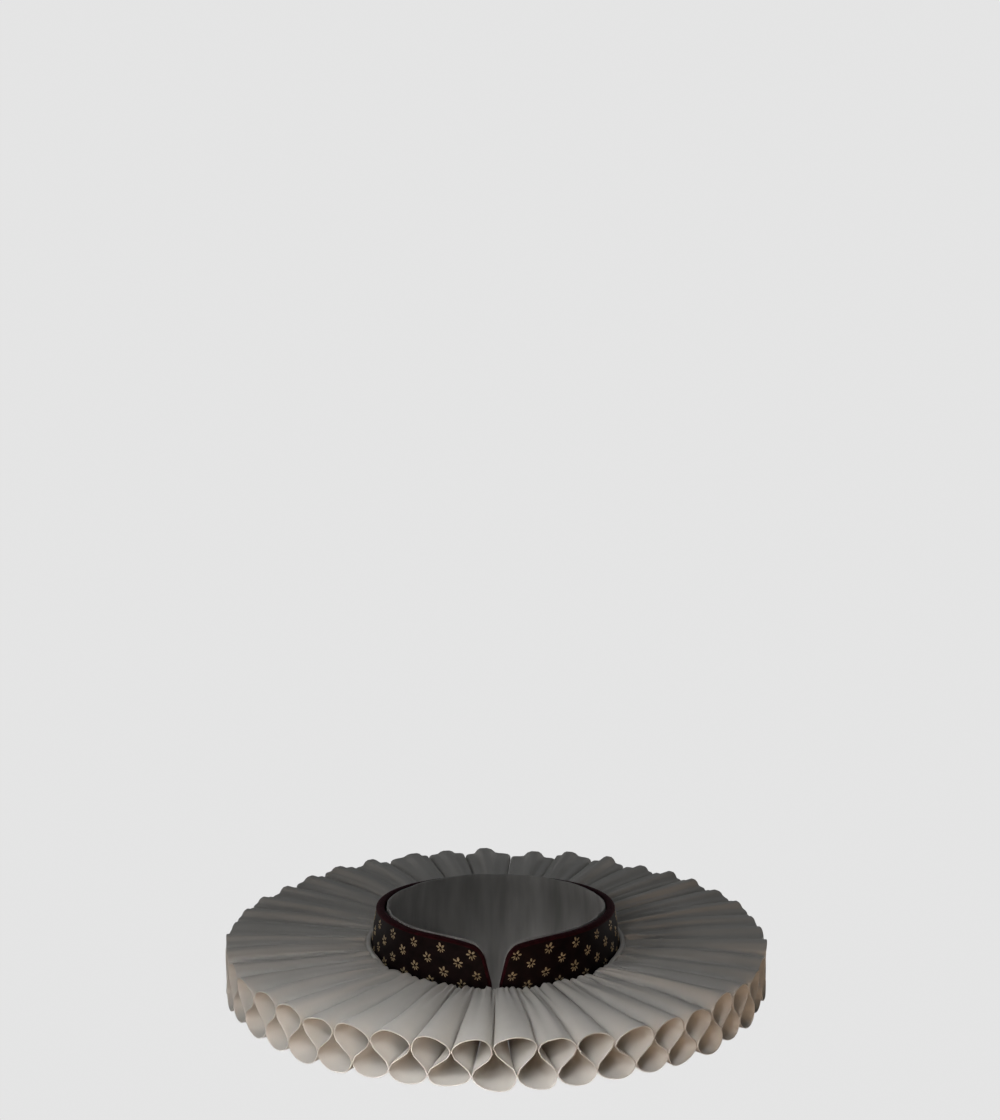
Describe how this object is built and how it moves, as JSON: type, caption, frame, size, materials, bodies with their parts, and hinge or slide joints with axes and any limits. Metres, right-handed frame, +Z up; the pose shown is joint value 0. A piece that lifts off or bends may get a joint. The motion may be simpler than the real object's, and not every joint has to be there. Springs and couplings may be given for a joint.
{
  "type": "ruff collar",
  "caption": "Starched linen ruff set in figure-of-eight tubes around a stiff brocade neckband with velvet edge, open at the front.",
  "frame": {"origin": "middle of the neck, level with the seam where the tops of the tubes meet the neckband", "axes": "+Z up along the neck, -Y to the wearer's front, +X to the wearer's left"},
  "size_m": [0.302, 0.302, 0.0779],
  "materials": {
    "ruff_linen": "starched plain weave",
    "neckband_linen": "plain weave",
    "gold_figured_brocade": "near-black satin with small gold flowers",
    "crimson_velvet": "short pile",
    "lining_linen": "soft unbleached plain weave"
  },
  "bodies": {
    "root": {"ruff_frill": "ruff_linen", "ruff_neckband": "neckband_linen", "band_outer": "gold_figured_brocade", "band_edge": "crimson_velvet", "band_lining": "lining_linen"}
  },
  "joints": []
}
